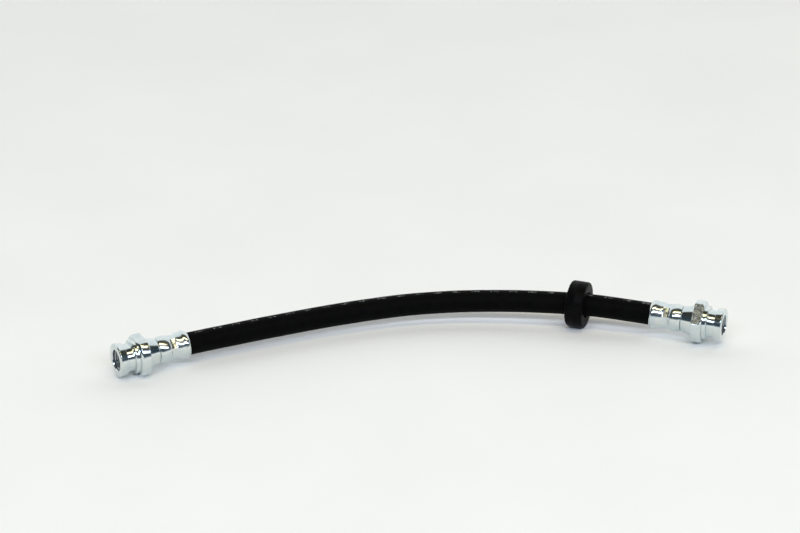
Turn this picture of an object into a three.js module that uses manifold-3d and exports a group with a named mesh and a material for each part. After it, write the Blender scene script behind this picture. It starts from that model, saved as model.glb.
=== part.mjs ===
// Brake hose: a short rubber hose with a female end fitting crimped on each end
// and a rubber protector ring on it, lying on a surface.
// Millimetres, +Z up, X along the line from the left port to the right port.
// The origin is on the surface, under the middle of the metal and the ring.

import * as THREE from 'three';
import { mergeVertices } from 'three/addons/utils/BufferGeometryUtils.js';
import Module from 'manifold-3d';

const wasm = await Module();
wasm.setup();

// Hose, from the bore outwards
const hoseDiameter = 10.5;
const hoseBore = 3.2;
const linerWall = 0.9;
const innerBraidWall = 0.4;
const cushionWall = 0.3;
const outerBraidWall = 0.4;
const layerClearance = 0.1;

// End fitting, lengths in order from the port face
const headDiameter = 15.8;
const headLength = 3.6;
const headChamfer = 0.4;
const grooveDiameter = 13;
const grooveLength = 3.6;
const shoulderDiameter = 16;
const shoulderLength = 2;
const shoulderChamfer = 0.35;
const collarDiameter = 20;
const collarFlats = 17;
const collarLength = 4.8;
const collarChamfer = 0.8;
const collarBackChamfer = 0.3;
const neckBase = 14.4;
const neckDiameter = 12.2;
const neckLength = 5.6;
const neckChamfer = 0.3;
const spigotDiameter = 6.4;

// Female port and the way through
const threadBore = 9;
const threadMouth = 10.2;
const portDepth = 11;
const seatBase = 6.4;
const seatTip = 3;
const seatHeight = 1.8;
const drilling = 1.8;
const stemClearance = 0.15;
const stemSetback = 1;

// Crimped ferrule
const ferruleLength = 15.1;
const ferruleWall = 0.8;
const ferruleFlange = 1;
const frontBulge = 13;
const crimpRidges = 12;
const crimpFlats = 11.1;
const mouthBulge = 13.6;
const mouthSlope = 0.5;
const frontBulgeEnd = 4;
const waistStart = 6;
const waistEnd = 8.4;
const mouthBulgeStart = 9.9;
const mouthPeak = 13.4;
const bulgeSoftening = 0.25;
const lipRadius = 0.9;
const crimpJaws = 8;

// Protector ring
const ringDiameter = 22;
const ringWidth = 8.4;
const ringEdge = 1;
const ringClearance = 0.25;
const ringBoreFlare = 0.65;
const ringAlongHose = 204;
const ringSkew = -8;

// Fits
const seatClearance = 0.3;
const crimpClearance = 0.3;

// Roll of each fitting about its own axis, in degrees from a spanner flat lying down.
// The left one lies on its flat, and the right one on the round of its collar.
const leftRoll = 0;
const rightRoll = -41;

// Facets
const roundSides = 32;
const cornerSides = 64;
const ringSides = 40;
const hoseSides = 12;
const hoseSteps = 16;

// How far a cut runs past the face that it opens, and how close points count as one
const cutOverrun = 1;
const mergeTolerance = 1e-4;

// Centreline of the hose from its left end to its right end, each with X, Y and the rise
// above the height at which the left collar's flat rests on the surface
const hoseRoute = [
  [-121.6, -8, 0],
  [-113.8, -5, 0],
  [-106, -2.2, 0],
  [-98.7, 0.3, 0],
  [-86.7, 4.1, 0],
  [-73.7, 8.1, 0.1],
  [-60.7, 11.7, 0.2],
  [-46.7, 15.3, 0.4],
  [-32.7, 18.4, 0.6],
  [-18.7, 20.9, 0.8],
  [-4.7, 22.6, 1.1],
  [9.3, 23.1, 1.3],
  [23.3, 22.4, 1.6],
  [37.3, 20.6, 1.9],
  [50.3, 18.2, 2.2],
  [63.3, 15.2, 2.4],
  [75.3, 12, 2.5],
  [84.3, 9, 2.5],
  [92.3, 6.2, 2.2],
  [99.9, 3.5, 1.8],
  [106.8, 0.8, 1.5],
  [114.8, -3, 1.5],
  [121.8, -6.5, 1.5],
];

// Stations along a fitting, counted from its port face
const grooveStart = headLength;
const shoulderStart = grooveStart + grooveLength;
const collarStart = shoulderStart + shoulderLength;
const neckStart = collarStart + collarLength;
const neckEnd = neckStart + neckLength;
const ferruleStart = neckEnd + seatClearance;
const spigotEnd = ferruleStart + ferruleFlange;
const hoseEnd = spigotEnd + seatClearance;
const ferruleEnd = ferruleStart + ferruleLength;
const stemEnd = ferruleEnd - stemSetback;

// Radii of the hose layers, from the bore outwards
const linerOuter = hoseBore / 2 + linerWall;
const innerBraidInner = linerOuter + layerClearance;
const innerBraidOuter = innerBraidInner + innerBraidWall;
const cushionInner = innerBraidOuter + layerClearance;
const cushionOuter = cushionInner + cushionWall;
const outerBraidInner = cushionOuter + layerClearance;
const outerBraidOuter = outerBraidInner + outerBraidWall;
const coverInner = outerBraidOuter + layerClearance;
const coverOuter = hoseDiameter / 2;

// The bore of a hose layer is a polygon, so the round stem inside it clears its flats
const stemRadius = (hoseBore / 2) * Math.cos(Math.PI / hoseSides) - stemClearance;

const zincPlate = new THREE.MeshStandardMaterial({ color: '#c9d1d2', roughness: 0.22, metalness: 1 });
const coverRubber = new THREE.MeshStandardMaterial({ color: '#161617', roughness: 0.55, metalness: 0 });
const ringRubber = new THREE.MeshStandardMaterial({ color: '#1b1b1c', roughness: 0.5, metalness: 0 });
const linerRubber = new THREE.MeshStandardMaterial({ color: '#232324', roughness: 0.7, metalness: 0 });
const braidYarn = new THREE.MeshStandardMaterial({ color: '#d8d2c2', roughness: 0.9, metalness: 0 });

// A closed mesh becomes a solid that can be cut and joined
function toSolid(geometry) {
  const bare = geometry.clone();
  bare.deleteAttribute('normal');
  bare.deleteAttribute('uv');
  const merged = mergeVertices(bare, mergeTolerance);
  const vertProperties = new Float32Array(merged.attributes.position.array);
  const triVerts = new Uint32Array(merged.index.array);
  return new wasm.Manifold(new wasm.Mesh({ numProp: 3, vertProperties, triVerts }));
}

function toGeometry(solid) {
  const mesh = solid.getMesh();
  const geometry = new THREE.BufferGeometry();
  geometry.setAttribute('position', new THREE.BufferAttribute(mesh.vertProperties, 3));
  geometry.setIndex(new THREE.BufferAttribute(mesh.triVerts, 1));
  geometry.computeVertexNormals();
  return geometry;
}

// A profile of [station, radius] pairs turned about the local X axis.
// It starts and ends on the axis, or closes on itself.
function turned(profile, sides = roundSides) {
  const points = profile.map(([station, radius]) => new THREE.Vector2(radius, station));
  const geometry = new THREE.LatheGeometry(points, sides);
  geometry.rotateZ(-Math.PI / 2);
  return geometry;
}

function closed(profile) {
  return [...profile, profile[0]];
}

// Outside of the fitting, without its collar
function fittingOutline() {
  const head = headDiameter / 2;
  const groove = grooveDiameter / 2;
  const shoulder = shoulderDiameter / 2;
  const neck = neckDiameter / 2;
  const spigot = spigotDiameter / 2;
  return [
    [0, 0],
    [0, head - headChamfer],
    [headChamfer, head],
    [grooveStart, head],
    [grooveStart, groove],
    [shoulderStart, groove],
    [shoulderStart, shoulder - shoulderChamfer],
    [shoulderStart + shoulderChamfer, shoulder],
    [collarStart, shoulder],
    [collarStart, neckBase / 2],
    [neckStart, neckBase / 2],
    [neckEnd - neckChamfer, neck],
    [neckEnd, neck - neckChamfer],
    [neckEnd, spigot],
    [spigotEnd, spigot],
    [spigotEnd, stemRadius],
    [stemEnd, stemRadius],
    [stemEnd, 0],
  ];
}

// The collar is turned round, then milled to two flats for a spanner
function collarWithFlats() {
  const rim = collarDiameter / 2;
  const disc = turned([
    [collarStart, 0],
    [collarStart, rim - collarChamfer],
    [collarStart + collarChamfer, rim],
    [neckStart - collarBackChamfer, rim],
    [neckStart, rim - collarBackChamfer],
    [neckStart, 0],
  ], cornerSides);
  const between = new THREE.BoxGeometry(collarLength + 2 * cutOverrun, collarDiameter + 2 * cutOverrun, collarFlats);
  between.translate((collarStart + neckStart) / 2, 0, 0);
  return toSolid(disc).intersect(toSolid(between));
}

// Threaded port with a coned seat at its bottom, and the drilling through the stem
function portAndDrilling() {
  const outside = -cutOverrun;
  const mouth = threadMouth / 2;
  const bore = threadBore / 2;
  const port = turned([
    [outside, 0],
    [outside, mouth],
    [0, mouth],
    [mouth - bore, bore],
    [portDepth, bore],
    [portDepth, seatBase / 2],
    [portDepth - seatHeight, seatTip / 2],
    [portDepth - seatHeight, 0],
  ]);
  const way = turned([
    [0, 0],
    [0, drilling / 2],
    [stemEnd + cutOverrun, drilling / 2],
    [stemEnd + cutOverrun, 0],
  ], hoseSides);
  return toSolid(port).add(toSolid(way));
}

function fittingGeometry() {
  const body = toSolid(turned(fittingOutline())).add(collarWithFlats());
  return toGeometry(body.subtract(portAndDrilling()));
}

// Outside of the ferrule as [station, radius] pairs, from its front to its mouth
function ferruleOutline(waist) {
  const front = frontBulge / 2;
  const mouth = mouthBulge / 2;
  const at = (station, radius) => [ferruleStart + station, radius];
  return [
    at(0, front - ferruleWall / 2),
    at(ferruleWall, front),
    at(frontBulgeEnd, front),
    at(waistStart, waist),
    at(waistEnd, waist),
    at(mouthBulgeStart, mouth - mouthSlope),
    at(mouthPeak, mouth),
    at(ferruleLength - lipRadius / 2, mouth - bulgeSoftening),
    at(ferruleLength, mouth - lipRadius),
  ];
}

// Inside of the same shell, a wall away from the outline and never under the hose at the mouth
function ferruleInside(extra) {
  const mouthInner = coverOuter + seatClearance - extra;
  const inside = ferruleOutline(crimpFlats / 2)
    .filter(([station]) => station > ferruleStart + ferruleWall)
    .map(([station, radius]) => [station, radius - ferruleWall - extra]);
  inside[inside.length - 1][1] = mouthInner;
  inside[inside.length - 2][1] = mouthInner;
  return inside;
}

// One crimp jaw presses a flat into the waist, and ridges stay between the flats
function crimpJaw(index) {
  const reach = mouthBulge;
  const length = waistEnd - waistStart;
  const jaw = new THREE.BoxGeometry(length, reach, reach);
  jaw.translate(ferruleStart + (waistStart + waistEnd) / 2, 0, crimpFlats / 2 + reach / 2);
  jaw.rotateX((index * 2 * Math.PI) / crimpJaws);
  return toSolid(jaw);
}

function ferruleGeometry() {
  const front = frontBulge / 2;
  const hole = spigotDiameter / 2 + seatClearance;
  const flangeBack = ferruleStart + ferruleFlange;
  const shell = turned(closed([
    ...ferruleOutline(crimpRidges / 2),
    ...ferruleInside(0).reverse(),
    [flangeBack, front - ferruleWall],
    [flangeBack, hole],
    [ferruleStart, hole],
  ]));
  let solid = toSolid(shell);
  for (let i = 0; i < crimpJaws; i += 1) {
    solid = solid.subtract(crimpJaw(i));
  }
  return toGeometry(solid);
}

// What the crimp squeezes off the outside of the hose
function crimpSqueeze() {
  const front = frontBulge / 2 - ferruleWall - crimpClearance;
  const outside = mouthBulge;
  const inside = ferruleInside(crimpClearance);
  const before = hoseEnd - cutOverrun;
  return toSolid(turned(closed([
    [before, outside],
    [ferruleEnd, outside],
    ...inside.reverse(),
    [before, front],
  ])));
}

const restHeight = collarFlats / 2;
const routePoints = hoseRoute.map(([x, y, rise]) => new THREE.Vector3(x, y, restHeight + rise));
const hoseCurve = new THREE.CatmullRomCurve3(routePoints);

// Frame at a hose end: the port lies hoseEnd away from it, straight on from the last two points
function endFrame(end, next) {
  const inward = next.clone().sub(end).normalize();
  const frame = new THREE.Group();
  frame.position.copy(end).addScaledVector(inward, -hoseEnd);
  frame.rotation.z = Math.atan2(inward.y, inward.x);
  return frame;
}

function hoseLayer(inner, outer) {
  const section = new THREE.Shape();
  const bore = new THREE.Path();
  for (let i = 0; i < hoseSides; i += 1) {
    const angle = (i * 2 * Math.PI) / hoseSides;
    const x = Math.cos(angle);
    const y = Math.sin(angle);
    if (i === 0) {
      section.moveTo(outer * x, outer * y);
      bore.moveTo(inner * x, inner * y);
    } else {
      section.lineTo(outer * x, outer * y);
      bore.lineTo(inner * x, inner * y);
    }
  }
  section.closePath();
  bore.closePath();
  section.holes.push(bore);
  return new THREE.ExtrudeGeometry(section, { steps: hoseSteps, extrudePath: hoseCurve, bevelEnabled: false });
}

function named(name, geometry, material) {
  const mesh = new THREE.Mesh(geometry, material);
  mesh.name = name;
  return mesh;
}

function ringGeometry() {
  const half = ringWidth / 2;
  const outer = ringDiameter / 2;
  const bore = coverOuter + ringClearance;
  const flared = bore + ringBoreFlare;
  const soft = ringEdge * (1 - Math.SQRT1_2);
  return turned(closed([
    [-half, flared],
    [-half, outer - ringEdge],
    [-half + soft, outer - soft],
    [-half + ringEdge, outer],
    [half - ringEdge, outer],
    [half - soft, outer - soft],
    [half, outer - ringEdge],
    [half, flared],
    [0, bore],
  ]), ringSides);
}

const brakeHose = new THREE.Group();

const leftEnd = endFrame(routePoints[0], routePoints[1]);
const rightEnd = endFrame(routePoints.at(-1), routePoints.at(-2));
brakeHose.add(leftEnd, rightEnd);

const leftFitting = named('left_fitting', fittingGeometry(), zincPlate);
const leftFerrule = named('left_ferrule', ferruleGeometry(), zincPlate);
leftFitting.rotation.x = THREE.MathUtils.degToRad(leftRoll);
leftEnd.add(leftFitting, leftFerrule);

const rightFitting = named('right_fitting', fittingGeometry(), zincPlate);
const rightFerrule = named('right_ferrule', ferruleGeometry(), zincPlate);
rightFitting.rotation.x = THREE.MathUtils.degToRad(rightRoll);
rightEnd.add(rightFitting, rightFerrule);

leftEnd.updateMatrixWorld(true);
rightEnd.updateMatrixWorld(true);
let cover = toSolid(hoseLayer(coverInner, coverOuter));
for (const frame of [leftEnd, rightEnd]) {
  cover = cover.subtract(crimpSqueeze().transform(frame.matrixWorld.elements));
}
brakeHose.add(
  named('hose_cover', toGeometry(cover), coverRubber),
  named('outer_braid', hoseLayer(outerBraidInner, outerBraidOuter), braidYarn),
  named('cushion_layer', hoseLayer(cushionInner, cushionOuter), linerRubber),
  named('inner_braid', hoseLayer(innerBraidInner, innerBraidOuter), braidYarn),
  named('hose_liner', hoseLayer(hoseBore / 2, linerOuter), linerRubber),
);

const ringPlace = ringAlongHose / hoseCurve.getLength();
const ringCentre = hoseCurve.getPointAt(ringPlace);
const hoseRun = hoseCurve.getTangentAt(ringPlace);
const ring = named('protector_ring', ringGeometry(), ringRubber);
ring.position.copy(ringCentre);
ring.rotation.z = Math.atan2(hoseRun.y, hoseRun.x) + THREE.MathUtils.degToRad(ringSkew);
brakeHose.add(ring);

export default brakeHose;
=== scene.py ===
# %% [markdown]
# # Brake hose
# A short brake hose joins the rigid pipe on a car's body to the caliper, which moves with the wheel.
# It is a rubber hose with two layers of yarn in its wall, a zinc-plated steel end crimped on each
# side, and a loose rubber ring that keeps it off other parts.
# The solids come packed, at their real size. This script dresses them: it builds the fine meshes,
# gives each finish its own procedural material, and sets up a plain studio.

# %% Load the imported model
import math

import bmesh
import bpy
from mathutils import Matrix, Vector


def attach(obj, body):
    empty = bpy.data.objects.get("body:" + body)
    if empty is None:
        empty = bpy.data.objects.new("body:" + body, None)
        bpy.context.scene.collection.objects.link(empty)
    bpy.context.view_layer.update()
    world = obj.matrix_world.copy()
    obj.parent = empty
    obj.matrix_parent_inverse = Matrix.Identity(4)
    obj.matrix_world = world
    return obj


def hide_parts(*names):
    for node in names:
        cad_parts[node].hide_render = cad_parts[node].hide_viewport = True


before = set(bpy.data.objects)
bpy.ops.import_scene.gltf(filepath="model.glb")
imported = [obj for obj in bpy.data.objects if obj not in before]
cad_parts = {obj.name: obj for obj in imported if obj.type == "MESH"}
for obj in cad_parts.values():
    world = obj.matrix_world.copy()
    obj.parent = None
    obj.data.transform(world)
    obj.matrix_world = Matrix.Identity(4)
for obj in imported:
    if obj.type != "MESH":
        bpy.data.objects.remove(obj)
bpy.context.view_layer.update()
MM = 0.001
print("solids:", sorted(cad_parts))

# %% [markdown]
# ## Camera
# The photograph was taken from a metre and a bit away with a long lens, about 26 degrees above the
# table and a little to the left of the middle. A long lens keeps both ends of the hose the same
# size, which is why the focal length is worked out before anything else is placed.

# %% Camera
photo_width = 800
focal_pixels = 2594
camera_data = bpy.data.cameras.new("camera")
camera_data.sensor_width = 36
camera_data.lens = focal_pixels * camera_data.sensor_width / photo_width
camera_data.clip_end = 20
camera = bpy.data.objects.new("camera", camera_data)
camera_aim = Vector((0.103166, 0.892854, -0.438371))
camera.location = (-0.13262, -1.06605, 0.56458)
camera.rotation_mode = "QUATERNION"
camera.rotation_quaternion = camera_aim.to_track_quat("-Z", "Y")
bpy.context.scene.collection.objects.link(camera)
bpy.context.scene.camera = camera
print("lens in mm:", round(camera_data.lens, 1))

# %% [markdown]
# ## The route of the hose
# The hose keeps the gentle bow that it had when it was made and shipped. It rests on the collars of
# its two ends and on the ring, so it rises a little towards the ring and comes down again.
# A Catmull-Rom curve passes through every point that it is given, so a short list of chosen points
# is enough, and spacing it by the square root of the gaps keeps it from swinging out between them.

# %% The centreline, from the left end to the right end
rest_height = 0.0085
hose_route = [
    (-0.1216, -0.008, 0),
    (-0.1138, -0.005, 0),
    (-0.106, -0.0022, 0),
    (-0.0987, 0.0003, 0),
    (-0.0867, 0.0041, 0),
    (-0.0737, 0.0081, 0.0001),
    (-0.0607, 0.0117, 0.0002),
    (-0.0467, 0.0153, 0.0004),
    (-0.0327, 0.0184, 0.0006),
    (-0.0187, 0.0209, 0.0008),
    (-0.0047, 0.0226, 0.0011),
    (0.0093, 0.0231, 0.0013),
    (0.0233, 0.0224, 0.0016),
    (0.0373, 0.0206, 0.0019),
    (0.0503, 0.0182, 0.0022),
    (0.0633, 0.0152, 0.0024),
    (0.0753, 0.012, 0.0025),
    (0.0843, 0.009, 0.0025),
    (0.0923, 0.0062, 0.0022),
    (0.0999, 0.0035, 0.0018),
    (0.1068, 0.0008, 0.0015),
    (0.1148, -0.003, 0.0015),
    (0.1218, -0.0065, 0.0015),
]
route_points = [Vector((x, y, rest_height + rise)) for x, y, rise in hose_route]


def smooth_line(points, steps):
    """The points of a centripetal Catmull-Rom curve, with this many steps between two of its points."""
    ends = [2 * points[0] - points[1], *points, 2 * points[-1] - points[-2]]
    line = []
    for a, b, c, d in zip(ends, ends[1:], ends[2:], ends[3:]):
        before, between, after = (math.sqrt((q - p).length) for p, q in ((a, b), (b, c), (c, d)))
        leaving = (b - a) / before - (c - a) / (before + between) + (c - b) / between
        arriving = (c - b) / between - (d - b) / (between + after) + (d - c) / after
        leaving *= between
        arriving *= between
        for step in range(steps):
            t = step / steps
            line.append(
                b + leaving * t
                + (3 * (c - b) - 2 * leaving - arriving) * t**2
                + (2 * (b - c) + leaving + arriving) * t**3
            )
    return [*line, points[-1]]


centreline = smooth_line(route_points, steps=6)
along = [0]
for here, there in zip(centreline, centreline[1:]):
    along.append(along[-1] + (there - here).length)
hose_length = along[-1]
print("hose length in mm:", round(hose_length / MM, 1), "with", len(centreline), "stations")

# %% [markdown]
# ## Frames along the hose
# Each station of the hose gets a small frame: X runs along it, Y points sideways and Z upwards.
# Anything that is round about the hose, such as a fitting or the ring, is then modelled on the X
# axis at the origin, where it is easy to think about, and carried to its place by one matrix.

# %% A frame at a point of the hose
def frame_at(point, run):
    """X along the run, Y level and Z up."""
    run = run.normalized()
    side = Vector((0, 0, 1)).cross(run).normalized()
    up = run.cross(side)
    turn = Matrix((run, side, up)).transposed().to_4x4()
    return Matrix.Translation(point) @ turn


def run_at(index):
    """The direction of the centreline at a station."""
    first = max(index - 1, 0)
    last = min(index + 1, len(centreline) - 1)
    return centreline[last] - centreline[first]


stations = [frame_at(point, run_at(index)) for index, point in enumerate(centreline)]
across = Matrix.Rotation(math.pi / 2, 4, "Y")
print("left end:", stations[0].translation, "right end:", stations[-1].translation)

# %% [markdown]
# ## Helpers for meshes
# Every piece ends the same way: its faces are turned outwards and shaded smooth, its corners are
# marked sharp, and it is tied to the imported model. A small function does that once.

# %% Finish a mesh and tie it to the model
soft_bend = math.radians(32)
weld_distance = 0.002 * MM


def finished(mesh, name, material, stands_for, sharp_angle=soft_bend):
    """Makes the object, gives it its material and lets it ride on the hose's one body."""
    bmesh.ops.remove_doubles(mesh, verts=mesh.verts, dist=weld_distance)
    bmesh.ops.recalc_face_normals(mesh, faces=mesh.faces)
    for face in mesh.faces:
        face.smooth = True
    for edge in mesh.edges:
        if len(edge.link_faces) == 2 and edge.calc_face_angle() > sharp_angle:
            edge.smooth = False
    data = bpy.data.meshes.new(name)
    mesh.to_mesh(data)
    open_edges = sum(not edge.is_manifold for edge in mesh.edges)
    print(name, "faces:", len(mesh.faces), "open edges:", open_edges)
    mesh.free()
    data.materials.append(material)
    piece = bpy.data.objects.new(name, data)
    bpy.context.scene.collection.objects.link(piece)
    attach(piece, "root")
    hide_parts(stands_for)
    return piece


# %% [markdown]
# ## Helpers for materials
# Colours are written as the hex values that a screen shows, so one function turns them into the
# linear light that the renderer works in. Another adds a node, sets its inputs and links it, and
# every material below is built with it. The short ones after it make the nodes that come up most.

# %% Colours and nodes
def linear(hex_colour):
    """A hex colour as linear red, green, blue and a full alpha."""
    shown = [int(hex_colour[start:start + 2], 16) / 255 for start in (1, 3, 5)]
    return [v / 12.92 if v <= 0.04045 else ((v + 0.055) / 1.055) ** 2.4 for v in shown] + [1]


def node(tree, kind, links=None, **settings):
    """Adds a node. A setting is a socket's value if the node has that socket, else a property."""
    made = tree.nodes.new(kind)
    for name, value in settings.items():
        if hasattr(made, name):
            setattr(made, name, value)
        else:
            made.inputs[name.replace("_", " ")].default_value = value
    for socket, source in (links or {}).items():
        tree.links.new(source, made.inputs[socket])
    return made


def ramp(tree, source, stops, **settings):
    """A colour ramp whose stops are pairs of a place and a colour."""
    made = node(tree, "ShaderNodeValToRGB", {"Fac": source}, **settings)
    band = made.color_ramp
    while len(band.elements) < len(stops):
        band.elements.new(0.5)
    for element, (place, colour) in zip(band.elements, stops):
        element.position = place
        element.color = linear(colour)
    return made.outputs["Color"]


def feed(tree, socket, value):
    """Links another node's output to a socket, or sets the socket to a plain value."""
    if isinstance(value, bpy.types.NodeSocket):
        tree.links.new(value, socket)
    else:
        socket.default_value = value


def maths(tree, operation, *values):
    """The result of one step of arithmetic on numbers and on other nodes' outputs."""
    made = node(tree, "ShaderNodeMath", operation=operation)
    for socket, value in zip(made.inputs, values):
        feed(tree, socket, value)
    return made.outputs[0]


# A mix node has sockets for numbers and vectors too, and these are the places of its colours
mix_inputs = (6, 7)
mix_output = 2


def mixed(tree, share, first, second):
    """The first colour where the share is zero, the second one where it is one."""
    made = node(tree, "ShaderNodeMix", {0: share}, data_type="RGBA")
    for place, colour in zip(mix_inputs, (first, second)):
        feed(tree, made.inputs[place], colour)
    return made.outputs[mix_output]


def noise(tree, vector, scale, detail, roughness=0.5):
    """A cloudy pattern of values round a half."""
    made = node(
        tree, "ShaderNodeTexNoise", {"Vector": vector}, Scale=scale, Detail=detail, Roughness=roughness,
    )
    return made.outputs["Fac"]


def spread(tree, value, low, high):
    """A value from zero to one, spread over the range from low to high."""
    return node(tree, "ShaderNodeMapRange", {"Value": value}, To_Min=low, To_Max=high).outputs["Result"]


def bump(tree, height, strength, distance, under=None):
    """The bumpy normal that a height gives, laid over the one under it."""
    made = node(tree, "ShaderNodeBump", {"Height": height}, Distance=distance)
    feed(tree, made.inputs["Strength"], strength)
    if under is not None:
        tree.links.new(under, made.inputs["Normal"])
    return made.outputs["Normal"]


def stored(tree, name, output="Vector"):
    """What the mesh stores under this name."""
    return node(tree, "ShaderNodeAttribute", attribute_name=name).outputs[output]


def new_material(name):
    """An empty material: its tree and its surface shader, already joined to the output."""
    material = bpy.data.materials.new(name)
    material.use_nodes = True
    tree = material.node_tree
    tree.nodes.clear()
    surface = node(tree, "ShaderNodeBsdfPrincipled")
    node(tree, "ShaderNodeOutputMaterial", {"Surface": surface.outputs["BSDF"]})
    return material, tree, surface


# %% [markdown]
# ## The rubber cover's finish
# The cover is EPDM rubber, pushed through a die while hot and then cured. That leaves a deep black
# with a dull sheen, faint lines along the hose where the die dragged, and a slight mottle.
# The pattern has to follow the hose round its bend, so each vertex stores where it would lie if the
# hose were pulled straight. Noise in those coordinates has no seam and no stretch.
# Where the real hose has print, this one has a row of plain, worn dashes.

# %% Extruded EPDM rubber
# Black rubber looks grey in strong light unless its clear shine is turned well down
rubber_shine = 0.04


def cover_rubber():
    material, tree, surface = new_material("extruded_epdm_rubber")
    straight = stored(tree, "straight")

    # The die lines are 0.4 mm apart and run 16 mm, which is drawn by squeezing the noise lengthwise
    die = node(tree, "ShaderNodeMapping", {"Vector": straight}, Scale=(25, 1000, 1000))
    die_lines = noise(tree, die.outputs["Vector"], scale=2.5, detail=3)
    mottle = noise(tree, straight, scale=260, detail=4, roughness=0.6)
    grain = noise(tree, straight, scale=2600, detail=2)

    # Dust and bloom make the black a shade greyer in patches
    black = ramp(tree, mottle, [(0.35, "#030304"), (0.7, "#080808")])
    inked = mixed(tree, print_dashes(tree, straight), black, linear("#8f9092"))
    tree.links.new(inked, surface.inputs["Base Color"])
    surface.inputs["Specular IOR Level"].default_value = rubber_shine
    tree.links.new(spread(tree, mottle, low=0.5, high=0.66), surface.inputs["Roughness"])
    drag = bump(tree, die_lines, strength=0.25, distance=0.00006)
    fine = bump(tree, grain, strength=0.2, distance=0.00003, under=drag)
    tree.links.new(fine, surface.inputs["Normal"])
    return material


# The row of dashes lies along the top of the hose, in ink that has worn thin
dash_pitch = 9 * MM
dash_share = 0.45
dash_height = 1.1 * MM
dash_place = -0.2 * MM
worn_away = 0.52
ink_cover = 0.6


def print_dashes(tree, straight):
    """How well ink covers the rubber, which is zero away from the dashes and where they are worn."""
    apart = node(tree, "ShaderNodeSeparateXYZ", {"Vector": straight})
    run, side, up = (apart.outputs[axis] for axis in "XYZ")
    beat = maths(tree, "FRACT", maths(tree, "DIVIDE", run, dash_pitch))
    long = maths(tree, "LESS_THAN", beat, dash_share)
    tall = maths(tree, "COMPARE", side, dash_place, dash_height / 2)
    on_top = maths(tree, "GREATER_THAN", up, 0)
    wear = noise(tree, straight, scale=900, detail=5, roughness=0.7)
    shown = maths(tree, "GREATER_THAN", wear, worn_away)
    for limit in (long, tall, on_top):
        shown = maths(tree, "MULTIPLY", shown, limit)
    return maths(tree, "MULTIPLY", shown, ink_cover)


# %% [markdown]
# ## The hose's inner layers
# Inside the cover are the liner that carries the fluid, two braids of polyester yarn that hold the
# pressure, and a thin cushion of rubber between them. Only a cut hose shows them, but each one is a
# layer of its own on the real hose. A braid is two sets of yarns that wind in opposite directions,
# so its height comes from two slanted waves of which the higher one shows.

# %% Braided polyester yarn and plain inner rubber
yarn_ends = 16
yarn_lay = 14 * MM


def braid_yarn():
    material, tree, surface = new_material("braided_polyester_yarn")
    apart = node(tree, "ShaderNodeSeparateXYZ", {"Vector": stored(tree, "straight")})
    turn = maths(tree, "ARCTAN2", apart.outputs["Y"], apart.outputs["Z"])
    waves = []
    for hand in (1, -1):
        wound = maths(tree, "MULTIPLY", turn, hand * yarn_ends)
        lay = 2 * math.pi * yarn_ends / yarn_lay
        waves.append(maths(tree, "SINE", maths(tree, "MULTIPLY_ADD", apart.outputs["X"], lay, wound)))
    height = maths(tree, "MAXIMUM", *waves)
    # Painted shade: the yarn is painted darker where the braid lies low, between the crossing yarns
    tree.links.new(ramp(tree, height, [(0.0, "#9d9583"), (0.8, "#ddd6c4")]), surface.inputs["Base Color"])
    surface.inputs["Roughness"].default_value = 0.85
    tree.links.new(bump(tree, height, strength=0.8, distance=0.0001), surface.inputs["Normal"])
    return material


def inner_rubber():
    material, tree, surface = new_material("plain_inner_rubber")
    mottle = noise(tree, stored(tree, "straight"), scale=400, detail=4)
    tree.links.new(ramp(tree, mottle, [(0.3, "#1c1c1d"), (0.7, "#2a2a2b")]), surface.inputs["Base Color"])
    surface.inputs["Roughness"].default_value = 0.7
    tree.links.new(bump(tree, mottle, strength=0.15, distance=0.00005), surface.inputs["Normal"])
    return material


# %% [markdown]
# ## The hose
# A hose can be a curve with a round bevel, but such a curve has no bore and nothing to hold a
# pattern. Here two circles, the outside and the bore, are joined by a ring of faces and extruded
# from station to station, and each new circle is carried on by the step between two frames.
# The crimp squeezes the ends of the cover, so its outside narrows inside the ferrules.

# %% Extrude a layer along the route
hose_diameter = 10.5 * MM
# Outside radius of the squeezed cover, by its distance from the hose's end
squeezed_cover = [(0, 5.25), (2.9, 5.25), (4.7, 4.45), (7.1, 4.45), (8.7, 5.25)]
cover_bore = 4.0 * MM
cover_sides = 56
layer_sides = 36


def cover_radius(distance):
    """Radius of the cover at this distance from the nearer end of the hose."""
    places = [(place * MM, radius * MM) for place, radius in squeezed_cover]
    for (start, low), (end, high) in zip(places, places[1:]):
        if distance <= end:
            return low + (high - low) * (distance - start) / (end - start)
    return hose_diameter / 2


def hose_layer(name, outer, inner, sides, material, stands_for):
    """A tube along the centreline. The outer radius is a function of the distance from an end."""
    mesh = bmesh.new()
    straight = mesh.verts.layers.float_vector.new("straight")
    near_end = [min(place, hose_length - place) for place in along]
    radii = [[outer(distance) for distance in near_end], [inner for _ in near_end]]
    loops = []
    for radius in (radii[0][0], radii[1][0]):
        circle = bmesh.ops.create_circle(
            mesh, radius=radius, segments=sides, matrix=stations[0] @ across,
        )["verts"]
        loops.append(list({edge for vert in circle for edge in vert.link_edges}))
    bmesh.ops.bridge_loops(mesh, edges=[edge for loop in loops for edge in loop])
    for vert in mesh.verts:
        place = stations[0].inverted() @ vert.co
        vert[straight] = (0, place.y, place.z)
    for index in range(1, len(stations)):
        for number, loop in enumerate(loops):
            new = bmesh.ops.extrude_edge_only(mesh, edges=loop)["geom"]
            verts = [part for part in new if isinstance(part, bmesh.types.BMVert)]
            loops[number] = [part for part in new if isinstance(part, bmesh.types.BMEdge)]
            grow = radii[number][index] / radii[number][index - 1]
            step = stations[index] @ Matrix.Diagonal((1, grow, grow, 1)) @ stations[index - 1].inverted()
            bmesh.ops.transform(mesh, matrix=step, verts=verts)
            for vert in verts:
                place = stations[index].inverted() @ vert.co
                vert[straight] = (along[index], place.y, place.z)
    bmesh.ops.bridge_loops(mesh, edges=[edge for loop in loops for edge in loop])
    return finished(mesh, name, material, stands_for)


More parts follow.
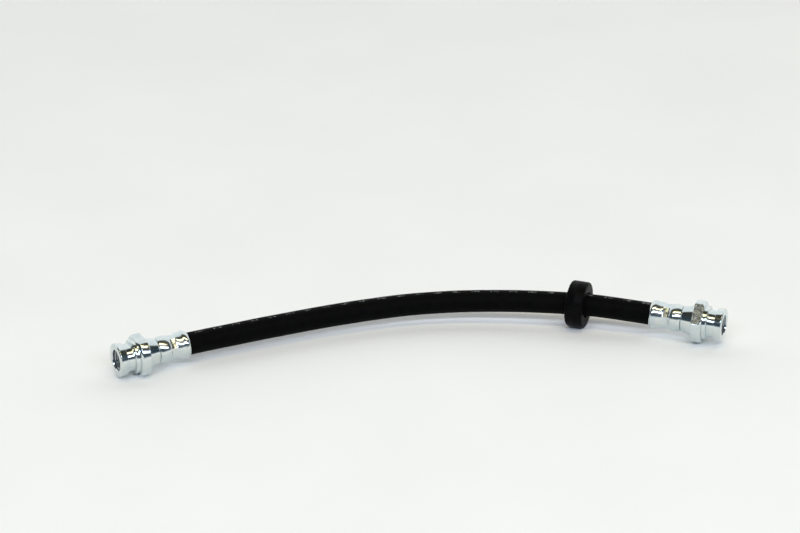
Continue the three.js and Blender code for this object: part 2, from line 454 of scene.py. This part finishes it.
rubber_inside = inner_rubber()
yarn = braid_yarn()
cover = hose_layer(
    "rubber_cover", cover_radius, cover_bore, cover_sides, cover_rubber(), "hose_cover",
)
inner_layers = [
    hose_layer(
        name, lambda distance, radius=outer: radius * MM, inner * MM, layer_sides, material, node_name,
    )
    for name, outer, inner, material, slot, node_name in (
        ("outer_yarn_braid", 3.9, 3.5, yarn, "braid_yarn", "outer_braid"),
        ("cushion_rubber", 3.4, 3.1, rubber_inside, "liner_rubber", "cushion_layer"),
        ("inner_yarn_braid", 3.0, 2.6, yarn, "braid_yarn", "inner_braid"),
        ("liner_tube", 2.5, 1.6, rubber_inside, "liner_rubber", "hose_liner"),
    )
]

# %% [markdown]
# ## Zinc plate
# The ends are turned from steel bar and plated with zinc, which is then passivated. The plate is
# bright, a little blue, and not quite a mirror: fine rings from the lathe run round each piece, and
# the plate itself has a soft, cloudy grain. Each vertex stores its place on the lathe, so the
# rings are noise squeezed along the axis, 0.15 mm apart.
# The milled flats are left rougher than the rest, so the plate is speckled there, and their colour is
# painted a darker grey as painted shade, most of all at the right end. Little plate gets into the port,
# which is a dull blue-grey, painted darker the deeper it lies as painted shade. Each face's corners
# store which of these they belong to. A ferrule is pressed and not turned, so its plate lies on
# slightly dented metal, and its reflections are wavy.

# %% Bright zinc plate on turned steel
port_dullness = 0.6
# Depth over which the port's colour darkens, as painted shade
painted_shade_depth = 3.5 * MM
flat_roughness = 0.15


def zinc_plate(name, smoothest, roughest, dents):
    """The plate on a piece: the range of its roughness, and how dented the metal under it is."""
    material, tree, surface = new_material(name)
    turned = stored(tree, "turned")
    coarse_and_shaded, inside = stored(tree, "coarse_and_shaded", "Fac"), stored(tree, "inside", "Fac")
    cloud = noise(tree, turned, scale=220, detail=5, roughness=0.6)
    speck = noise(tree, turned, scale=1500, detail=4, roughness=0.65)
    rings = node(tree, "ShaderNodeMapping", {"Vector": turned}, Scale=(6500, 120, 120))
    ring_noise = noise(tree, rings.outputs["Vector"], scale=1, detail=2)

    # Bare, dull steel inside the port scatters light more than it mirrors it
    mirror = maths(tree, "MULTIPLY_ADD", inside, -port_dullness, 1)
    tree.links.new(mirror, surface.inputs["Metallic"])
    tint = ramp(tree, cloud, [(0.3, "#c6d3d6"), (0.55, "#d6dddd"), (0.8, "#dcdfd6")])
    # Painted shade: the flats' speckled grey is darker than the plate, and used most on the right end's
    # flats
    grey = ramp(tree, speck, [(0.4, "#383b3b"), (0.6, "#a9aeae")])
    # Painted shade: the port's dull blue-grey darkens from near its mouth to 3.5 mm in
    depth = node(tree, "ShaderNodeSeparateXYZ", {"Vector": turned}).outputs["X"]
    sunk = node(tree, "ShaderNodeMapRange", {"Value": depth}, From_Min=0, From_Max=painted_shade_depth)
    dull_port_with_painted_shade = ramp(tree, sunk.outputs["Result"], [(0.1, "#63656f"), (1, "#191c25")])
    colour = mixed(tree, inside, mixed(tree, coarse_and_shaded, tint, grey), dull_port_with_painted_shade)
    tree.links.new(colour, surface.inputs["Base Color"])

    rough = spread(tree, speck, low=smoothest, high=roughest)
    rougher = maths(tree, "MULTIPLY_ADD", coarse_and_shaded, flat_roughness, rough)
    tree.links.new(rougher, surface.inputs["Roughness"])
    dent = noise(tree, turned, scale=260, detail=1)
    dented = bump(tree, dent, strength=dents, distance=0.0004)
    lathe = bump(tree, ring_noise, strength=0.2, distance=0.00002, under=dented)
    grain = bump(tree, speck, strength=0.15, distance=0.00005, under=lathe)
    pitted = bump(tree, speck, strength=coarse_and_shaded, distance=0.00025, under=grain)
    tree.links.new(pitted, surface.inputs["Normal"])
    return material


turned_zinc = zinc_plate("zinc_plate_on_turned_steel", smoothest=0.06, roughest=0.22, dents=0.05)
pressed_zinc = zinc_plate("zinc_plate_on_pressed_steel", smoothest=0.09, roughest=0.27, dents=0.5)
print("materials:", [material.name for material in bpy.data.materials])

# %% [markdown]
# ## The end fittings
# A fitting is turned from bar: a head with the threaded port, a groove for the clip that holds it to
# its bracket, a shoulder, a wide collar, a tapered neck, and a thin stem that reaches into the hose.
# On a lathe that is one outline turned about one axis, so the mesh is made the same way: the
# outline's corners are rounded with a bevel on its points, and it is spun once round. The collar
# then gets two flats for a spanner, each from one straight cut.

# %% Turn an outline about the X axis
turn_steps = 96
corner_segments_per_mm = 4
fewest_corner_segments = 3


def wire(mesh, outline):
    """The outline as a closed loop. The third value of each point says how far it is rounded."""
    verts = [mesh.verts.new((station * MM, 0, radius * MM)) for station, radius, _ in outline]
    for first, second in zip(verts, verts[1:] + verts[:1]):
        mesh.edges.new((first, second))
    for size in sorted({size for _, _, size in outline if size}):
        corners = [vert for vert, (_, _, own) in zip(verts, outline) if own == size]
        bmesh.ops.bevel(
            mesh, geom=corners, offset=size * MM, offset_type="OFFSET",
            segments=max(fewest_corner_segments, round(corner_segments_per_mm * size)),
            profile=0.5, affect="VERTICES", clamp_overlap=True, material=-1,
        )


def turned_mesh(outline):
    """A ring-shaped solid with this outline."""
    mesh = bmesh.new()
    wire(mesh, outline)
    bmesh.ops.spin(
        mesh, geom=mesh.verts[:] + mesh.edges[:], cent=(0, 0, 0), axis=(1, 0, 0),
        angle=2 * math.pi, steps=turn_steps, use_merge=True,
    )
    bmesh.ops.recalc_face_normals(mesh, faces=mesh.faces)
    return mesh


def placed(mesh, place):
    """Stores each point's place on the lathe, then carries the mesh to its place on the hose."""
    turned = mesh.verts.layers.float_vector.new("turned")
    for vert in mesh.verts:
        vert[turned] = vert.co
    bmesh.ops.transform(mesh, matrix=place, verts=mesh.verts)


# %% The fitting's outline, in millimetres from the port face
head_radius = 7.9
groove_radius = 6.5
shoulder_radius = 8.0
collar_radius = 10.0
flat_distance = 8.5
neck_base = 7.2
neck_radius = 6.1
port_face, groove, shoulder, collar, neck, neck_end = 0, 3.6, 7.2, 9.2, 14.0, 19.75
ferrule_front = 19.9
spigot_end, stem_end = 20.9, 34.0
spigot_radius, stem_radius, stem_tip_radius, drilling_radius = 3.2, 1.39, 1.15, 0.9
# The port: a cone leads into the thread, and a coned seat stands at the bottom
mouth_depth, port_depth, seat_tip = 0.45, 11.0, 9.2
mouth_radius, thread_radius = 5.12, 4.85
seat_tip_radius, seat_base_radius = 1.5, 3.2
fitting_outline = [
    (port_face, mouth_radius, 0.05),
    (port_face, head_radius - 0.4, 0.12),
    (port_face + 0.4, head_radius, 0.12),
    (groove, head_radius - 0.45, 0.15),
    (groove, groove_radius, 0.2),
    (shoulder, groove_radius, 0.2),
    (shoulder, shoulder_radius - 0.35, 0.1),
    (shoulder + 0.35, shoulder_radius, 0.12),
    (collar, shoulder_radius, 0.05),
    (collar, collar_radius - 0.8, 0.1),
    (collar + 0.8, collar_radius, 0.15),
    (neck - 0.3, collar_radius, 0.1),
    (neck, collar_radius - 0.3, 0.1),
    (neck, neck_base, 0.3),
    (neck_end - 0.3, neck_radius, 0.15),
    (neck_end, neck_radius - 0.3, 0.1),
    (neck_end, spigot_radius, 0.1),
    (spigot_end, spigot_radius, 0.1),
    (spigot_end, stem_radius, 0.1),
    (stem_end - 0.3, stem_radius, 0.1),
    (stem_end, stem_tip_radius, 0),
    (stem_end, drilling_radius, 0),
    (seat_tip, drilling_radius, 0.1),
    (seat_tip, seat_tip_radius, 0.1),
    (port_depth, seat_base_radius, 0.1),
    (port_depth, thread_radius, 0.1),
    (mouth_depth, thread_radius, 0.05),
]


# %% Cut the two flats
edge_break = 0.09
cut_tolerance = 1e-8
# The thread's ridges keep some of the shine that the rest of the port lacks
ridge_inside = 0.5


def cut_flats(mesh):
    """Slices the collar above and below at the flats' distance, fills each cut and breaks its edges."""
    for way in (1, -1):
        outwards = Vector((0, 0, way))
        cut = bmesh.ops.bisect_plane(
            mesh, geom=mesh.verts[:] + mesh.edges[:] + mesh.faces[:], dist=cut_tolerance,
            plane_co=outwards * flat_distance * MM, plane_no=outwards, clear_outer=True,
        )["geom_cut"]
        rim = [part for part in cut if isinstance(part, bmesh.types.BMEdge)]
        flat = bmesh.ops.holes_fill(mesh, edges=rim, sides=0)["faces"][0]
        bmesh.ops.bevel(
            mesh, geom=list(flat.edges), offset=edge_break * MM, offset_type="OFFSET", segments=1,
            profile=0.5, affect="EDGES", clamp_overlap=True, material=-1,
        )


def mark_surfaces(mesh, coarseness_and_shade):
    """Says how rough each face is and how much it is darkened as painted shade, which only the flats are,
    and whether it is inside the port.
    """
    coarse_and_shaded = mesh.loops.layers.float.new("coarse_and_shaded")
    inside = mesh.loops.layers.float.new("inside")
    for face in mesh.faces:
        middle = face.calc_center_median() / MM
        from_axis = math.hypot(middle.y, middle.z)
        flat = abs(face.normal.z) > 0.999 and abs(abs(middle.z) - flat_distance) < 0.01
        deep = middle.x < port_depth + 0.2 and from_axis < thread_radius + 0.02
        ridge = deep and middle.x < port_depth - 0.5 and from_axis < thread_radius - 0.05
        for corner in face.loops:
            corner[coarse_and_shaded] = coarseness_and_shade if flat else 0
            corner[inside] = ridge_inside if ridge else float(deep)


# %% [markdown]
# ## The thread
# The port has an M10x1 thread. A narrow tooth that winds round the bore as it moves along makes
# the ridge: spin turns it, and a small push along the axis at each step gives the pitch.

# %% Wind the thread
thread_start = 0.5
thread_pitch = 1.0
thread_turns = 9
thread_steps = 48
thread_crest = 4.5
thread_root = thread_radius + 0.05
# Each corner's place as a share of the pitch, and its radius
tooth_corners = [(0, thread_root), (0.44, thread_crest), (0.56, thread_crest), (0.98, thread_root)]


def add_thread(mesh):
    """A helical ridge whose root is sunk a little into the wall of the bore."""
    verts = [
        mesh.verts.new(((thread_start + share * thread_pitch) * MM, 0, radius * MM))
        for share, radius in tooth_corners
    ]
    tooth = mesh.faces.new(verts)
    bmesh.ops.spin(
        mesh, geom=[tooth, *tooth.edges, *verts], cent=(0, 0, 0), axis=(1, 0, 0),
        dvec=(thread_pitch / thread_steps * MM, 0, 0), angle=2 * math.pi * thread_turns,
        steps=thread_turns * thread_steps,
    )


# %% Build both fittings
# How far the port face lies beyond the hose's end
port_distance = 21.2 * MM
end_frames = {
    "left": frame_at(centreline[0], route_points[1] - route_points[0]),
    "right": frame_at(centreline[-1], route_points[-2] - route_points[-1]),
}
rolls = {"left": 0, "right": math.radians(-41)}
# The flats are rougher and painted darker as painted shade, the right end's far more than the left's
flat_coarseness_and_shade = {"left": 0.1, "right": 1}
crisp = math.radians(10)
for side, end in end_frames.items():
    port = end @ Matrix.Translation((-port_distance, 0, 0))
    fitting = turned_mesh(fitting_outline)
    cut_flats(fitting)
    add_thread(fitting)
    fitting.normal_update()
    mark_surfaces(fitting, flat_coarseness_and_shade[side])
    placed(fitting, port @ Matrix.Rotation(rolls[side], 4, "X"))
    finished(fitting, side + "_end_fitting", turned_zinc, side + "_fitting", crisp)

# %% [markdown]
# ## The ferrules
# A ferrule starts as a thin steel cup. Eight jaws close on it round the hose and press a waist into
# it, and the wall bulges before and behind them. The bulges are part of the outline. The jaws are
# added after the spin: within the waist each point moves in to a flat, and the blend at both ends
# is smooth, because the wall bends there and isn't cut.

# %% Spin the cup and press its waist
# From the front of the ferrule to its mouth: the outside, then the inside back again
ferrule_outline = [
    (0, 3.5, 0.1),
    (0, 5.8, 0.15),
    (2.6, 6.95, 2.4),
    (6.2, 5.9, 1.0),
    (8.4, 5.95, 0.5),
    (9.7, 6.3, 0.5),
    (11.9, 6.5, 0.4),
    (12.8, 6.8, 0.4),
    (14.2, 6.8, 0.5),
    (15.1, 5.95, 0.15),
    (14.4, 5.6, 0.1),
    (13.6, 5.75, 0.2),
    (9.9, 5.5, 0.3),
    (8.4, 4.75, 0.3),
    (6.0, 4.75, 0.3),
    (4.0, 5.6, 0.3),
    (1.0, 5.3, 0.2),
    (1.0, 3.5, 0.1),
]
jaws = 8
ridge_radius = 6.0
jaw_distance = 5.55
waist = (5.9, 8.2)
waist_blend = 0.9
station_spacing = 0.35


def press_waist(mesh):
    """Moves the waist's points in to the jaws' flats."""
    half = math.pi / jaws
    for vert in mesh.verts:
        station = vert.co.x / MM
        gap = max(waist[0] - station, station - waist[1], 0)
        press = max(0, 1 - gap / waist_blend)
        press = press * press * (3 - 2 * press)

        # The inside lies nearer the axis than the jaws get, so it stays
        if press == 0 or math.hypot(vert.co.y, vert.co.z) < jaw_distance * MM:
            continue
        angle = math.atan2(vert.co.y, vert.co.z)
        off_centre = (angle + half) % (2 * half) - half
        flat = jaw_distance / math.cos(off_centre)
        squeeze = 1 + (min(flat, ridge_radius) / ridge_radius - 1) * press
        vert.co.y *= squeeze
        vert.co.z *= squeeze


def add_stations(mesh):
    """Cuts the plain stretch of the waist into short steps, so that it can be pressed."""
    station = waist[0] - waist_blend
    while station < waist[1] + waist_blend:
        bmesh.ops.bisect_plane(
            mesh, geom=mesh.verts[:] + mesh.edges[:] + mesh.faces[:], dist=cut_tolerance,
            plane_co=(station * MM, 0, 0), plane_no=(1, 0, 0),
        )
        station += station_spacing


for side, end in end_frames.items():
    ferrule = turned_mesh(ferrule_outline)
    add_stations(ferrule)
    press_waist(ferrule)
    front = end @ Matrix.Translation((ferrule_front * MM - port_distance, 0, 0))
    placed(ferrule, front)
    finished(ferrule, side + "_crimped_ferrule", pressed_zinc, side + "_ferrule")

# %% [markdown]
# ## The ring
# The ring is moulded from a firmer rubber and pushed along the hose to where it might rub. Its
# edges are rounded by the mould, and a thin line round its middle is where the mould's halves met.
# Its bore flares at both ends, so it can sit a little askew, as it does here.

# %% Moulded ring rubber
def ring_rubber():
    material, tree, surface = new_material("moulded_ring_rubber")
    turned = stored(tree, "turned")
    mottle = noise(tree, turned, scale=350, detail=4, roughness=0.6)
    grain = noise(tree, turned, scale=3000, detail=2)
    tree.links.new(ramp(tree, mottle, [(0.35, "#050506"), (0.7, "#0c0c0c")]), surface.inputs["Base Color"])
    surface.inputs["Specular IOR Level"].default_value = rubber_shine
    tree.links.new(spread(tree, mottle, low=0.36, high=0.5), surface.inputs["Roughness"])
    tree.links.new(bump(tree, grain, strength=0.2, distance=0.00004), surface.inputs["Normal"])
    return material


# %% Turn the ring and push it onto the hose
ring_along = 204 * MM
ring_skew = math.radians(-8)
ring_end = 4.2
ring_radius, mould_line_radius = 10.95, 11
bore_end_radius, bore_radius = 6.15, 5.5
ring_outline = [
    (-ring_end, bore_end_radius, 0.3),
    (-ring_end, ring_radius, 1.0),
    (-0.18, ring_radius, 0),
    (-0.1, mould_line_radius, 0),
    (0.1, mould_line_radius, 0),
    (0.18, ring_radius, 0),
    (ring_end, ring_radius, 1.0),
    (ring_end, bore_end_radius, 0.3),
    (0, bore_radius, 0.5),
]
station = next(index for index, place in enumerate(along) if place > ring_along)
share = (ring_along - along[station - 1]) / (along[station] - along[station - 1])
ring_centre = centreline[station - 1].lerp(centreline[station], share)
level_run = centreline[station] - centreline[station - 1]
level_run.z = 0
ring_frame = frame_at(ring_centre, level_run) @ Matrix.Rotation(ring_skew, 4, "Z")
ring = turned_mesh(ring_outline)
placed(ring, ring_frame)
finished(ring, "rubber_ring", ring_rubber(), "protector_ring")
print("ring centre in mm:", [round(v / MM, 2) for v in ring_centre])

# %% [markdown]
# The hose leaves the left ferrule and goes back into the right
# one, so both of its ends are on the object.

# %% [markdown]
# ## Studio
# Bright metal shows its surroundings more than its own colour, so the studio matters as much as the
# plate. Behind the hose everything is light. Overhead and in front the ceiling is dark, with a warm
# lamp and a white one in it, and those two draw the bright lines along each turned surface.
# The floor is a sheet of pale card.

# %% Floor of pale card
floor_size = 4
floor_mesh = bmesh.new()
bmesh.ops.create_grid(floor_mesh, x_segments=1, y_segments=1, size=floor_size)
floor_data = bpy.data.meshes.new("floor")
floor_mesh.to_mesh(floor_data)
floor_mesh.free()
card, card_tree, card_surface = new_material("pale_card")
card_place = node(card_tree, "ShaderNodeTexCoord").outputs["Object"]
card_cloud = noise(card_tree, card_place, scale=12, detail=6)
card_colour = ramp(card_tree, card_cloud, [(0.35, "#fafaf9"), (0.65, "#fdfdfc")])
card_tree.links.new(card_colour, card_surface.inputs["Base Color"])
card_surface.inputs["Roughness"].default_value = 0.7
floor_data.materials.append(card)
floor = bpy.data.objects.new("floor", floor_data)
bpy.context.scene.collection.objects.link(floor)

# %% World: light behind, dark overhead and in front
world = bpy.data.worlds.new("studio")
bpy.context.scene.world = world
world.use_nodes = True
world_tree = world.node_tree
world_tree.nodes.clear()
direction = node(world_tree, "ShaderNodeTexCoord").outputs["Generated"]
level_aim = Vector((camera_aim.x, camera_aim.y, 0)).normalized()
light_edge = math.radians(20)
rear = level_aim * math.cos(light_edge) - Vector((0, 0, math.sin(light_edge)))


def facing(way):
    """How far the direction that is looked at agrees with this way."""
    made = node(world_tree, "ShaderNodeVectorMath", {0: direction}, operation="DOT_PRODUCT")
    made.inputs[1].default_value = way
    return made.outputs["Value"]


def from_to(value, start, end):
    """Zero before the start, one after the end, and smooth in between."""
    made = node(
        world_tree, "ShaderNodeMapRange", {"Value": value},
        interpolation_type="SMOOTHSTEP", From_Min=start, From_Max=end,
    )
    return made.outputs["Result"]


# Each pair says where a change from dark to light, or of tint, starts and ends
rear_edge, floor_edge, ceiling_fade = (-0.04, 0.06), (-0.19, -0.09), (0.3, 0.95)
wall_light = (1.05, 1.07, 1.07, 1)
behind = from_to(facing(rear), *rear_edge)
low = from_to(facing(Vector((0, 0, -1))), *floor_edge)
lit = maths(world_tree, "MAXIMUM", behind, low)
overhead = from_to(facing(Vector((0, 0, 1))), *ceiling_fade)
ceiling = ramp(world_tree, overhead, [(0, "#30434f"), (1, "#34342b")])
walls = mixed(world_tree, lit, ceiling, wall_light)
sky = node(world_tree, "ShaderNodeBackground", {"Color": walls}, Strength=1.0)
node(world_tree, "ShaderNodeOutputWorld", {"Surface": sky.outputs["Background"]})

# %% Two lamps overhead
# Both fittings point away from the camera's view at a slant, the left one more, so only long lamps
# that reach further to the right are mirrored in both of them
lamp_distance = 3.2
to_the_right = level_aim.cross(Vector((0, 0, 1)))


def ceiling_lamp(name, lean, shift, width, depth, colour, brightness):
    """A soft lamp that leans this many degrees from straight above towards the camera."""
    data = bpy.data.lights.new(name, "AREA")
    data.shape = "RECTANGLE"
    data.size = width
    data.size_y = depth
    data.color = linear(colour)[:3]
    data.energy = brightness * width * depth * math.pi
    tilt = math.radians(lean)
    place = (Vector((0, 0, math.cos(tilt))) - level_aim * math.sin(tilt)) * lamp_distance
    lamp = bpy.data.objects.new(name, data)
    lamp.location = place + to_the_right * shift
    lamp.rotation_mode = "QUATERNION"
    lamp.rotation_quaternion = (-place).to_track_quat("-Z", "Y")
    bpy.context.scene.collection.objects.link(lamp)
    print(name, "watts:", round(data.energy, 1))


ceiling_lamp("warm_lamp", lean=14, shift=0.25, width=3.4, depth=0.48, colour="#fff0c4", brightness=5.25)
ceiling_lamp("white_lamp", lean=44, shift=0.6, width=5.6, depth=0.36, colour="#e8f1ff", brightness=13.2)
bpy.context.scene.view_settings.view_transform = "Standard"
